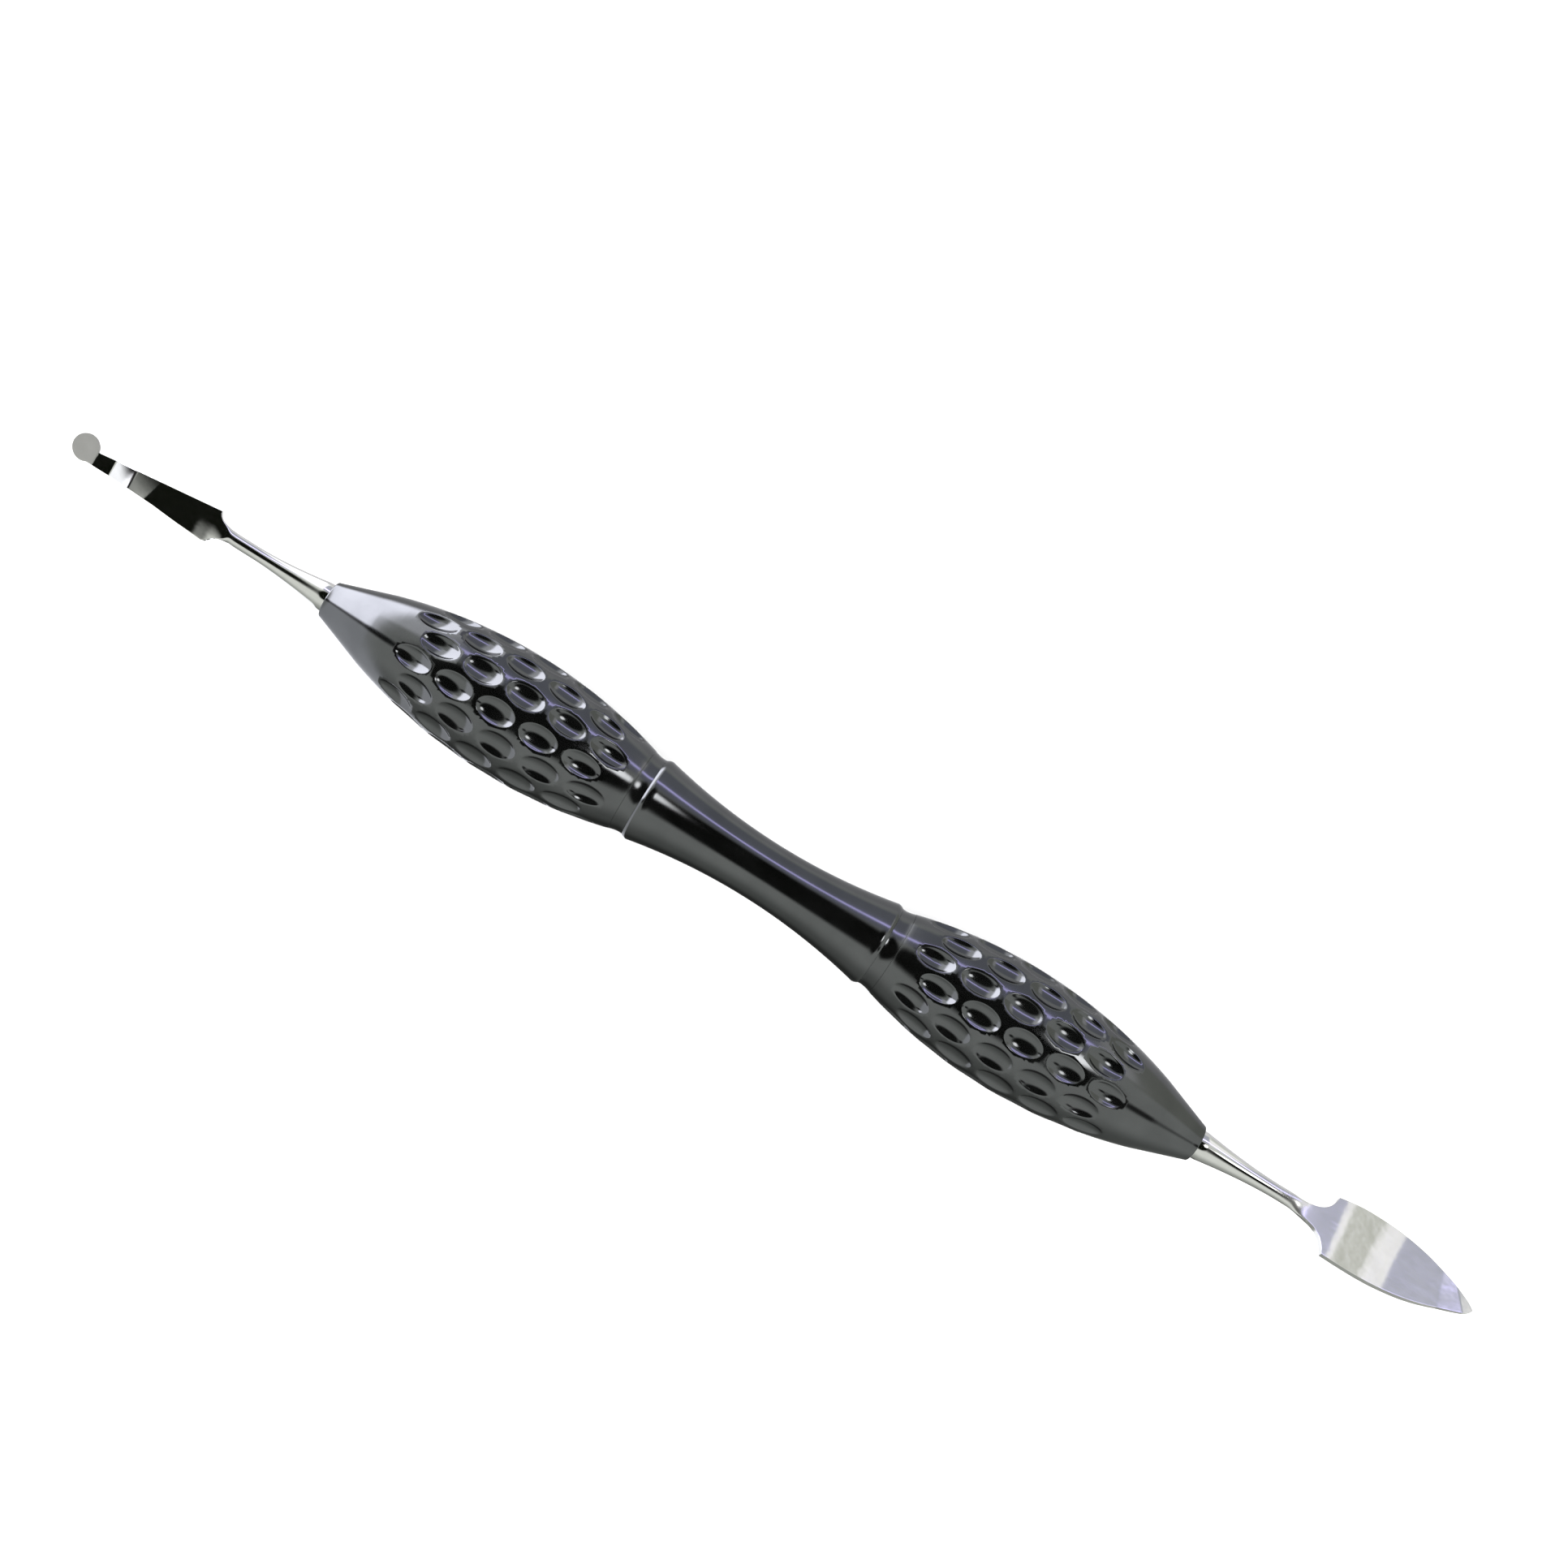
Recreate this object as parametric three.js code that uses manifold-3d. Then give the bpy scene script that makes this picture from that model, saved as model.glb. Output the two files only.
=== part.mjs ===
// Double-ended clay modelling tool: a turned, dimpled metal handle in three screwed sections,
// with a bent leaf blade at one end and a tapering blade with a small round disc at the other.
//
// Millimetres. X runs along the tool towards the leaf, and Z is up from the surface that the
// tool lies on. The upper faces of both blades carry on from the tops of their shanks; the leaf
// is rolled to face partly towards +Y. The origin is at the middle of the footprint.
//
// Each end is modelled as the leaf end is, with x growing outwards from the middle of the
// handle. The spoon end is the same group turned half a turn about Z.

import * as THREE from 'three';
import { mergeVertices } from 'three/addons/utils/BufferGeometryUtils.js';
import Module from 'manifold-3d';

const wasm = await Module();
wasm.setup();

// ---------------------------------------------------------------- driving dimensions

// Handle, seen from outside
const WAIST_RADIUS = 3.37; // thinnest place, at the middle of the handle
const WAIST_HALF_LENGTH = 14.3; // from the middle to the shoulder beside the neck ring
const SHOULDER_RADIUS = 4.87;
const LIP_WIDTH = 0.65; // rounded end of the waist beyond its shoulder
const LIP_DROP = 0.19;
const RING_WIDTH = 1.55; // neck ring between the waist and a grip
const GROOVE_DEPTH = 0.26; // how far the ring's groove lies below the shoulder
const GROOVE_AT = 0.4; // from the ring's waist side to the bottom of its groove
const GROOVE_RISE = 1.6; // power of the curve from the groove up to the grip
const RING_STEP = 0.04; // the ring's ends lie this far below the waist's end and the grip
const GRIP_LENGTH = 38.5; // from the neck ring to the mouth
const GRIP_FACE_RADIUS = 4.87; // at the grip's inner face
const BULB_RADIUS = 7; // thickest place of a grip
const BULB_CREST = 15; // from the grip's inner face to its thickest place
const CONE_RADIUS = 4.24; // where the bulb's curve turns into the straight taper
const CONE_LENGTH = 6; // straight taper that ends at the mouth
const MOUTH_WALL = 0.35; // rim left around the bore at the mouth
const EDGE = 0.12; // small chamfer on turned edges

// Dimples: rows along the grip, every second row shifted towards the waist
const DIMPLE_ROWS = 14;
const DIMPLES_PER_ROW = 5;
const DIMPLE_FIRST = 5.6; // first dimple's centre from the grip's inner face
const DIMPLE_PITCH = 5.24;
const DIMPLE_STAGGER = 1.8;
const DIMPLE_DEPTH = 0.62;
const DIMPLE_CUTTER = new THREE.Vector3(2.54, 1.02, 1.6); // half axes: along, radial, across
const GRIP_ROLL = THREE.MathUtils.degToRad(3.8); // how far the first row lies off the top

// Joints inside the handle
const SEAM = 0.1; // gap between the faces of neighbouring sections
const FIT = 0.1; // gap around a piece that sits in a bore
const STUD_RADIUS = 2;
const STUD_REACH = 6; // how far the stud enters the waist and the grip
const WAIST_BORE_RADIUS = 1.4;
const SOCKET_SPARE = 1.5; // threaded depth left beyond each end of a stud

// Tips
const SHANK_ROOT_RADIUS = 1.66; // where the shank leaves the mouth
const TANG_RADIUS = 1.2; // roughened tang inside the bore
const TANG_LENGTH = 16;
const TANG_COLLAR = 1.5; // full-width part of the shank inside the mouth
const BOND_LENGTH = 13; // sleeve of cured adhesive around the tang
const SHANK_COLLAR = 0.7; // full-width part of the shank outside the mouth
const SHANK_FADE = 3; // length over which the end of a shank fades into its blade
const SHANK_FALL = 1.7; // power of the curve down to the slim part of a shank
const SHANK_END_RADIUS = 0.22; // a shank's outer end, hidden inside its blade
const BLADE_ROOT = 3.5; // a blade's outline starts this far back along its shank
const BLADE_ROOM = 8; // width of a bent strip and depth of an outline, before one cuts the other

// Leaf blade
const LEAF_SHANK_LENGTH = 16.65; // from the mouth to the shoulders of the leaf
const LEAF_SHANK_RADIUS = 0.82;
const LEAF_SHANK_TAPER = 9.5; // length of the taper from the collar to the slim part
const LEAF_THICKNESS = 0.64;
const LEAF_LENGTH = 17.85;
const LEAF_WIDTH = 6.48;
const LEAF_OFFSET = 0.5; // the leaf's middle lies this far to the +Y side of the shank
const LEAF_WIDEST = 4; // from the shoulders to the widest place
const LEAF_CORNERS = [0.44, 0.05]; // each shoulder lies this far inside the widest place
const LEAF_SHOULDER_SKEW = 0.1; // the -Y shoulder starts this much later
const LEAF_SHOULDER_LEAN = 0.15; // a shoulder's curve comes in this far behind its corner
const LEAF_FULLNESS = 2.35; // power of the curve from the widest place to the tip
const LEAF_TIP_ROUND = 0.42; // rounding at the tip

// Spoon blade
const SPOON_SHANK_LENGTH = 14.6; // from the mouth to the blade's shoulders
const SPOON_SHANK_RADIUS = 0.76;
const SPOON_SHANK_TAPER = 8.6;
const SPOON_THICKNESS = 0.6;
const BLADE_LENGTH = 14.85; // from the shoulders to the neck of the disc
const BLADE_WIDTH = 3.9;
const BLADE_SHOULDER_LEAN = 0.2;
const NECK_WIDTH = 1.55;
const NECK_OFFSET = 0.61; // the neck lies this far to the -Y side of the axis
const HEEL_LENGTH = 5.5; // straight edge beside the neck, on the bellied side
const BELLY_AT = 5; // the bellied edge bends most this far from the shoulder
const SHOULDER_ROUND = 0.55; // rounding of the shoulder on the bellied side
const DISC_RADIUS = 1.55;
const DISC_REACH = 1.51; // from the neck to the middle of the disc
const DISC_OFFSET = 0.07; // the disc's middle lies this far to the -Y side of the axis
const DISC_NOTCH = THREE.MathUtils.degToRad(190); // where the notch meets the round edge
const DISC_HEEL = THREE.MathUtils.degToRad(115); // where the heel meets the round edge

// Each blade is a strip stretched between straight folds. A fold has its place on the axis from
// the blade's shoulders, the slope that leads up to it, and how far it falls and how far it
// leans back for each millimetre towards +Y.
const LEAF_FOLDS = [
  { at: -4.85, slope: 0, fall: 0, lean: 0 },
  { at: -1.85, slope: 0.03, fall: 0.72, lean: 0 },
  { at: 0.5, slope: 0.09, fall: 0.714, lean: -0.07 },
  { at: 1.45, slope: -0.11, fall: 0.717, lean: -0.1 },
  { at: 5.65, slope: -0.22, fall: 0.737, lean: -0.19 },
  { at: 8.35, slope: -0.11, fall: 0.734, lean: -0.16 },
  { at: 14.1, slope: 0.06, fall: 0.751, lean: 0.13 },
  { at: 16.65, slope: 0.43, fall: 0.944, lean: 0.58 },
  { at: 18.85, slope: 0, fall: 0.944, lean: 0 },
];
const SPOON_FOLDS = [
  { at: -4, slope: 0, fall: 0, lean: 0 },
  { at: 7.3, slope: 0, fall: 0, lean: -0.3 },
  { at: 10.1, slope: -0.12, fall: 0.02, lean: 0 },
  { at: 12.85, slope: -0.3, fall: 0.14, lean: 0 },
  { at: 14.8, slope: 0.14, fall: 0, lean: 0 },
  { at: 14.86, slope: 0, fall: 0.12, lean: 0 },
  { at: 19, slope: 0, fall: 0.12, lean: 0 },
];

// How finely round things are divided
const GRIP_SIDES = 42;
const TURNED_SIDES = 36;
const SHANK_SIDES = 20;
const DIMPLE_SIDES = 10;
const DIMPLE_RINGS = 8;
const CURVE_SEGMENTS = 8;
const WAIST_STEPS = 16;
const LIP_STEPS = 3;
const RING_STEPS = 3; // on each side of a ring's groove
const BULB_STEPS = 12;
const SHANK_STEPS = 6;
const LEAF_STEPS = 9;
const STRIP_STEPS = 12; // across a bent strip
const SLOPE_STEP = 0.01; // distance over which a slope is measured
const FOLD_MATCH = 0.001; // a point of a strip within this distance of a fold belongs to it

// ---------------------------------------------------------------- derived sizes

const waistEnd = WAIST_HALF_LENGTH + LIP_WIDTH;
const gripStart = waistEnd + RING_WIDTH;
const mouthAt = gripStart + GRIP_LENGTH;
const coneStart = GRIP_LENGTH - CONE_LENGTH;
const boreRadius = SHANK_ROOT_RADIUS + FIT;
const socketRadius = STUD_RADIUS + FIT;
const mouthRadius = boreRadius + MOUTH_WALL;

// ---------------------------------------------------------------- solids

// A closed manifold solid from a three.js geometry, without the slivers that a lathe
// leaves on its axis.
function solidOf(geometry) {
  const bare = geometry.clone();
  bare.deleteAttribute('normal');
  bare.deleteAttribute('uv');
  const merged = mergeVertices(bare);
  const corners = merged.index.array;
  const triVerts = [];
  for (let i = 0; i < corners.length; i += 3) {
    const [a, b, c] = [corners[i], corners[i + 1], corners[i + 2]];
    if (a !== b && b !== c && c !== a) triVerts.push(a, b, c);
  }
  return new wasm.Manifold(new wasm.Mesh({
    numProp: 3,
    vertProperties: merged.attributes.position.array,
    triVerts: new Uint32Array(triVerts),
  }));
}

function geometryOf(solid) {
  const mesh = solid.getMesh();
  const geometry = new THREE.BufferGeometry();
  geometry.setAttribute('position', new THREE.BufferAttribute(mesh.vertProperties, 3));
  geometry.setIndex(new THREE.BufferAttribute(mesh.triVerts, 1));
  geometry.computeVertexNormals();
  return geometry;
}

// A turned solid about the X axis. Each profile point is [x, radius], and the profile runs
// outwards along the outside first.
function turned(profile, sides) {
  const points = profile.map(([x, radius]) => new THREE.Vector2(radius, x));
  return new THREE.LatheGeometry(points, sides).rotateZ(-Math.PI / 2);
}

// A turned tube: the outside, back along the inside, and closed on its first point.
function turnedTube(outside, inside, sides) {
  return turned([...outside, ...inside, outside[0]], sides);
}

function samples(from, to, count, valueAt) {
  return Array.from({ length: count + 1 }, (_, i) => {
    const x = THREE.MathUtils.lerp(from, to, i / count);
    return [x, valueAt(x)];
  });
}

// ---------------------------------------------------------------- handle

// How far a circular arc has left its crest's tangent at a distance along it, when it has left
// it by rise at reach.
function arcDrop(distance, reach, rise) {
  const radius = (reach ** 2 + rise ** 2) / (2 * rise);
  return radius - Math.sqrt(radius ** 2 - distance ** 2);
}

function waistRadius(x) {
  return WAIST_RADIUS + arcDrop(x, WAIST_HALF_LENGTH, SHOULDER_RADIUS - WAIST_RADIUS);
}

// Radius of a grip's convex arc on either side of its crest; x is measured from the grip's
// inner face.
function bulbRadius(x) {
  const inward = x < BULB_CREST;
  const reach = inward ? BULB_CREST : coneStart - BULB_CREST;
  const endRadius = inward ? GRIP_FACE_RADIUS : CONE_RADIUS;
  return BULB_RADIUS - arcDrop(x - BULB_CREST, reach, BULB_RADIUS - endRadius);
}

function waistSleeve() {
  const socketEnd = waistEnd - STUD_REACH - SOCKET_SPARE;
  const shoulder = waistRadius(WAIST_HALF_LENGTH);
  const lip = samples(WAIST_HALF_LENGTH, waistEnd, LIP_STEPS, (x) => (
    shoulder - LIP_DROP * ((x - WAIST_HALF_LENGTH) / LIP_WIDTH) ** 2
  )).slice(1);
  const outside = [
    ...lip.map(([x, radius]) => [-x, radius]).reverse(),
    ...samples(-WAIST_HALF_LENGTH, WAIST_HALF_LENGTH, WAIST_STEPS, waistRadius),
    ...lip,
  ];
  const inside = [
    [waistEnd, socketRadius],
    [socketEnd, socketRadius],
    [socketEnd, WAIST_BORE_RADIUS],
    [-socketEnd, WAIST_BORE_RADIUS],
    [-socketEnd, socketRadius],
    [-waistEnd, socketRadius],
  ];
  return turnedTube(outside, inside, TURNED_SIDES);
}

// The ring's outside falls to a shallow groove and rises again towards the grip.
function neckRing() {
  const start = waistEnd + SEAM;
  const end = gripStart - SEAM;
  const dip = waistEnd + GROOVE_AT;
  const startRadius = waistRadius(WAIST_HALF_LENGTH) - LIP_DROP - RING_STEP;
  const endRadius = bulbRadius(0) - RING_STEP;
  const groove = Math.min(SHOULDER_RADIUS - GROOVE_DEPTH, startRadius, endRadius);
  const fall = samples(start, dip, RING_STEPS, (x) => (
    groove + (startRadius - groove) * ((dip - x) / (dip - start)) ** 2
  ));
  const rise = samples(dip, end, RING_STEPS, (x) => (
    groove + (endRadius - groove) * ((x - dip) / (end - dip)) ** GROOVE_RISE
  ));
  const inside = [[end, socketRadius], [start, socketRadius]];
  return turnedTube([...fall, ...rise.slice(1)], inside, TURNED_SIDES);
}

// A headless screw that draws the grip, the ring and the waist together.
function jointStud() {
  const start = waistEnd - STUD_REACH;
  const end = gripStart + STUD_REACH;
  return turned([
    [start, 0],
    [start, STUD_RADIUS - EDGE],
    [start + EDGE, STUD_RADIUS],
    [end - EDGE, STUD_RADIUS],
    [end, STUD_RADIUS - EDGE],
    [end, 0],
  ], SHANK_SIDES);
}

// One ellipsoid cutter, its pole pointing at the axis and its long side along the surface. It
// is narrower where the bulb is thinner.
function dimpleCutter(x, angle) {
  const rise = bulbRadius(x + SLOPE_STEP / 2) - bulbRadius(x - SLOPE_STEP / 2);
  const lift = DIMPLE_CUTTER.y - DIMPLE_DEPTH;
  return new THREE.SphereGeometry(1, DIMPLE_SIDES, DIMPLE_RINGS)
    .scale(DIMPLE_CUTTER.x, DIMPLE_CUTTER.y, DIMPLE_CUTTER.z * bulbRadius(x) / BULB_RADIUS)
    .translate(0, lift, 0)
    .rotateZ(Math.atan2(rise, SLOPE_STEP))
    .translate(x, bulbRadius(x), 0)
    .rotateX(Math.PI / 2 + angle);
}

function dimpledGrip() {
  const socketEnd = STUD_REACH + SOCKET_SPARE;
  const outside = [
    ...samples(0, coneStart, BULB_STEPS, bulbRadius),
    [GRIP_LENGTH - EDGE, mouthRadius],
    [GRIP_LENGTH, mouthRadius - EDGE],
  ];
  const inside = [
    [GRIP_LENGTH, boreRadius],
    [socketEnd, boreRadius],
    [socketEnd, socketRadius],
    [0, socketRadius],
  ];
  let grip = solidOf(turnedTube(outside, inside, GRIP_SIDES));
  for (let row = 0; row < DIMPLE_ROWS; row += 1) {
    const first = DIMPLE_FIRST - (row % 2) * DIMPLE_STAGGER;
    const angle = row * 2 * Math.PI / DIMPLE_ROWS;
    for (let i = 0; i < DIMPLES_PER_ROW; i += 1) {
      const x = first + i * DIMPLE_PITCH;
      grip = grip.subtract(solidOf(dimpleCutter(x, angle)));
    }
  }
  return geometryOf(grip).translate(gripStart, 0, 0);
}

// ---------------------------------------------------------------- tips

// Shank and tang in one turning; x is measured from the mouth. The shank's outer end fades
// upwards into the blade, which starts at the given length.
function shank(radius, taper, length, bladeThickness) {
  const flare = (x) => radius
    + (SHANK_ROOT_RADIUS - radius) * (1 - (x - SHANK_COLLAR) / taper) ** SHANK_FALL;
  const end = length + SHANK_FADE / 2;
  const stem = turned([
    [-TANG_LENGTH, 0],
    [-TANG_LENGTH, TANG_RADIUS],
    [-TANG_COLLAR, TANG_RADIUS],
    [-TANG_COLLAR, SHANK_ROOT_RADIUS],
    ...samples(SHANK_COLLAR, SHANK_COLLAR + taper, SHANK_STEPS, flare),
    [length - SHANK_FADE, radius],
    [end, SHANK_END_RADIUS],
    [end, 0],
  ], SHANK_SIDES);
  return displaced(stem, (point) => {
    const faded = point.x > length - SHANK_FADE / 2;
    point.z += faded ? radius - bladeThickness / 2 : 0;
  });
}

function tangBond() {
  const end = mouthAt - TANG_COLLAR - SEAM;
  const start = end - BOND_LENGTH;
  const outer = boreRadius - FIT;
  const inner = TANG_RADIUS + FIT;
  return turnedTube([[start, outer], [end, outer]], [[end, inner], [start, inner]], SHANK_SIDES);
}

// A geometry whose points are each moved by a function.
function displaced(geometry, move) {
  const position = geometry.attributes.position;
  const point = new THREE.Vector3();
  for (let i = 0; i < position.count; i += 1) {
    point.fromBufferAttribute(position, i);
    move(point);
    position.setXYZ(i, point.x, point.y, point.z);
  }
  return geometry;
}

// A strip of sheet bent at the folds, its upper face at height zero before the first one.
// Distances along it are measured from the blade's shoulders.
function bentStrip(folds, thickness) {
  let height = 0;
  const top = folds.map((fold, i) => {
    height += i === 0 ? 0 : fold.slope * (fold.at - folds[i - 1].at);
    return new THREE.Vector2(fold.at, height);
  });
  const bottom = folds.map((fold, i) => (
    new THREE.Vector2(fold.at, top[i].y - thickness * Math.hypot(1, fold.fall))
  ));
  const section = new THREE.Shape([...top, ...bottom.reverse()]);
  const strip = new THREE.ExtrudeGeometry(section, {
    depth: BLADE_ROOM,
    steps: STRIP_STEPS,
    bevelEnabled: false,
  })
    .translate(0, 0, -BLADE_ROOM / 2)
    .rotateX(Math.PI / 2);
  return displaced(strip, (point) => {
    const fold = folds.find(({ at }) => Math.abs(at - point.x) < FOLD_MATCH);
    point.x -= fold.lean * point.y;
    point.z -= fold.fall * point.y;
  });
}

// A blade cut to its outline from a bent strip, in the frame of its shank.
function bentBlade(outline, folds, thickness, shoulderAt, topAt) {
  const plan = new THREE.ExtrudeGeometry(outline, {
    depth: BLADE_ROOM,
    curveSegments: CURVE_SEGMENTS,
    bevelEnabled: false,
  }).translate(0, 0, -BLADE_ROOM / 2);
  const strip = bentStrip(folds, thickness).translate(0, 0, topAt);
  return geometryOf(solidOf(plan).intersect(solidOf(strip))).translate(shoulderAt, 0, 0);
}

// Outlines are drawn from the blade's shoulders outwards. Each starts as a point on top of the
// round shank and widens to the shank's own width.
function leafOutline() {
  const tip = LEAF_LENGTH;
  const root = LEAF_SHANK_RADIUS;
  const skew = LEAF_SHOULDER_SKEW;
  const high = LEAF_WIDTH / 2 + LEAF_OFFSET;
  const low = LEAF_WIDTH / 2 - LEAF_OFFSET;
  const highCorner = high - LEAF_CORNERS[0];
  const lowCorner = low - LEAF_CORNERS[1];
  const taper = (x) => ((x - LEAF_WIDEST) / (tip - LEAF_WIDEST)) ** LEAF_FULLNESS;
  const edge = (reach) => (x) => THREE.MathUtils.lerp(reach, LEAF_OFFSET, taper(x));
  const roundStart = tip - LEAF_TIP_ROUND;
  const lowEdge = samples(LEAF_WIDEST, roundStart, LEAF_STEPS, edge(-low));
  const highEdge = samples(LEAF_WIDEST, roundStart, LEAF_STEPS, edge(high)).reverse();
  const shape = new THREE.Shape();
  shape.moveTo(-BLADE_ROOT, 0);
  shape.lineTo(skew - BLADE_ROOT / 2, -root);
  shape.quadraticCurveTo(skew - LEAF_SHOULDER_LEAN, -root, skew, -lowCorner);
  shape.quadraticCurveTo(LEAF_WIDEST / 2, -low, LEAF_WIDEST, -low);
  lowEdge.slice(1).forEach(([x, y]) => shape.lineTo(x, y));
  shape.quadraticCurveTo(tip + LEAF_TIP_ROUND, LEAF_OFFSET, roundStart, edge(high)(roundStart));
  highEdge.slice(1).forEach(([x, y]) => shape.lineTo(x, y));
  shape.quadraticCurveTo(LEAF_WIDEST / 2, high, 0, highCorner);
  shape.quadraticCurveTo(-LEAF_SHOULDER_LEAN, root, -BLADE_ROOT / 2, root);
  return shape;
}

function leafTip() {
  const stem = shank(LEAF_SHANK_RADIUS, LEAF_SHANK_TAPER, LEAF_SHANK_LENGTH, LEAF_THICKNESS);
  const blade = bentBlade(
    leafOutline(), LEAF_FOLDS, LEAF_THICKNESS, LEAF_SHANK_LENGTH, LEAF_SHANK_RADIUS,
  );
  return geometryOf(solidOf(stem).add(solidOf(blade))).translate(mouthAt, 0, 0);
}

function spoonOutline() {
  const neck = BLADE_LENGTH;
  const root = SPOON_SHANK_RADIUS;
  const half = BLADE_WIDTH / 2;
  const notch = NECK_OFFSET - NECK_WIDTH / 2;
  const heel = NECK_OFFSET + NECK_WIDTH / 2;
  const shape = new THREE.Shape();
  shape.moveTo(-BLADE_ROOT, 0);
  shape.lineTo(-BLADE_ROOT / 2, -root);
  shape.quadraticCurveTo(-BLADE_SHOULDER_LEAN, -root, 0, -half);
  shape.lineTo(neck, notch);
  shape.absarc(neck + DISC_REACH, DISC_OFFSET, DISC_RADIUS, DISC_NOTCH, DISC_HEEL, false);
  shape.lineTo(neck - HEEL_LENGTH, heel);
  shape.quadraticCurveTo(BELLY_AT, heel, SHOULDER_ROUND, half);
  shape.quadraticCurveTo(0, half, 0, half - SHOULDER_ROUND);
  shape.quadraticCurveTo(-BLADE_SHOULDER_LEAN, root, -BLADE_ROOT / 2, root);
  return shape;
}

function spoonTip() {
  const stem = shank(SPOON_SHANK_RADIUS, SPOON_SHANK_TAPER, SPOON_SHANK_LENGTH, SPOON_THICKNESS);
  const blade = bentBlade(
    spoonOutline(), SPOON_FOLDS, SPOON_THICKNESS, SPOON_SHANK_LENGTH, SPOON_SHANK_RADIUS,
  );
  return geometryOf(solidOf(stem).add(solidOf(blade))).translate(mouthAt, 0, 0);
}

// ---------------------------------------------------------------- assembly

function named(name, geometry, color, roughness, metalness) {
  const material = new THREE.MeshStandardMaterial({ color, roughness, metalness });
  const mesh = new THREE.Mesh(geometry, material);
  mesh.name = name;
  return mesh;
}

const darkMetal = [0x33353a, 0.22, 1];
const polishedSteel = [0xc9c9c5, 0.1, 1];
const zincSteel = [0x8d8f92, 0.4, 1];
const amberResin = [0xb08a4a, 0.5, 0];

function handleEnd(name, tipGeometry, roll) {
  const end = new THREE.Group();
  const grip = named(`${name}_end_grip`, dimpledGrip(), ...darkMetal);
  grip.rotation.x = roll;
  end.add(
    grip,
    named(`${name}_end_neck_ring`, neckRing(), ...darkMetal),
    named(`${name}_end_joint_stud`, jointStud(), ...zincSteel),
    named(`${name}_end_tang_bond`, tangBond(), ...amberResin),
    named(`${name}_tip`, tipGeometry, ...polishedSteel),
  );
  return end;
}

const tool = new THREE.Group();
const leafEnd = handleEnd('leaf', leafTip(), GRIP_ROLL);
const spoonEnd = handleEnd('spoon', spoonTip(), -GRIP_ROLL);
spoonEnd.rotation.z = Math.PI;
tool.add(named('waist_sleeve', waistSleeve(), ...darkMetal), leafEnd, spoonEnd);

// Set the tool down on its bulbs, with the origin at the middle of its footprint.
tool.updateMatrixWorld(true);
const bounds = new THREE.Box3().setFromObject(tool, true);
const middle = bounds.getCenter(new THREE.Vector3());
tool.position.set(-middle.x, -middle.y, -bounds.min.z);

export default tool;
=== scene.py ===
import math
from collections import namedtuple
from functools import lru_cache

import bmesh
import bpy
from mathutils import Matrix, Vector
from mathutils.geometry import delaunay_2d_cdt


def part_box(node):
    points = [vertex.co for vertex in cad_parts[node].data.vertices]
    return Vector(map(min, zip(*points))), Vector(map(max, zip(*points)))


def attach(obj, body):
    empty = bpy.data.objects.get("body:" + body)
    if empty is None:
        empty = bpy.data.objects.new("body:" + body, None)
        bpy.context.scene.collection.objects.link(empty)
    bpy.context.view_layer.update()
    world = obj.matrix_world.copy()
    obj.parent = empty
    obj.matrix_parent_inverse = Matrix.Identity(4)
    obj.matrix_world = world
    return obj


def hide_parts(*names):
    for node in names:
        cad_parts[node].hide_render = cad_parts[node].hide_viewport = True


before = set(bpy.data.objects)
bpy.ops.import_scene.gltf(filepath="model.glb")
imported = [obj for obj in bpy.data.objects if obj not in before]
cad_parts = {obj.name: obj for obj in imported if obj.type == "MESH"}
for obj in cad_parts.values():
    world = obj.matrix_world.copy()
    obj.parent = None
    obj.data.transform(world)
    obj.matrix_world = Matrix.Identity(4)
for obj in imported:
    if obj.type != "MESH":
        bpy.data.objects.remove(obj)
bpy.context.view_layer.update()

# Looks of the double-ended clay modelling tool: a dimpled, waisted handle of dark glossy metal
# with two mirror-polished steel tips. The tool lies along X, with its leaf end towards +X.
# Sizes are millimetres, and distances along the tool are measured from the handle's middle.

MM = 0.001

# ---------------------------------------------------------------- sizes and places

# Handle, seen from outside
WAIST_RADIUS = 3.37
WAIST_HALF_LENGTH = 14.3
SHOULDER_RADIUS = 4.87
LIP_WIDTH = 0.65  # rounded end of the waist beyond its shoulder
LIP_DROP = 0.19
RING_WIDTH = 1.55
GROOVE_RADIUS = 4.61
GROOVE_AT = 0.4  # from the ring's waist side to the bottom of its groove
GROOVE_RISE = 1.6  # power of the curve from the groove up to the grip
RING_STEP = 0.035  # the ring's ends lie this far below its neighbours
GRIP_LENGTH = 38.5
GRIP_FACE_RADIUS = 4.87
BULB_CREST = 15  # from the grip's face to its thickest place
BULB_INSET = 0.005  # the bulb stays this far inside the CAD model's bulb
CONE_RADIUS = 4.24
CONE_LENGTH = 6
MOUTH_RADIUS = 2.11
MOUTH_ROUND = 0.14
MOUTH_DROP = 0.9 * MOUTH_ROUND  # how far the rounding of the mouth goes inwards
SEAM = 0.015  # half of the gap between two pieces of the handle
CHAMFER = 0.03
FACE_DROP = 0.003  # the outer corner of the grip's face lies this far below its bulb

# Dimples
DIMPLE_ROWS = 14
DIMPLES_PER_ROW = 5
DIMPLE_FIRST = 5.6  # from the grip's face to the first dimple of an even row
DIMPLE_PITCH = 5.24
DIMPLE_STAGGER = 1.8  # odd rows start this much nearer to the grip's face
DIMPLE_DEPTH = 0.62
DIMPLE_AXES = (2.54, 1.6, 1.02)  # cutting ellipsoid's half axes: along, across at the crest, radial
DIMPLE_ROLL = math.radians(3.8)
DIMPLE_BOX = (3, 2.2)  # a dimple reaches less far than this, along and across
PLAIN_START = 0.55  # stretch of the bulb without dimples beside the grip's face
PLAIN_END = 8.6  # and towards the mouth
RIM_ROUND = 0.05
RIM_REACH = 1.8  # usual distance from a dimple's middle to its rim

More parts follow.
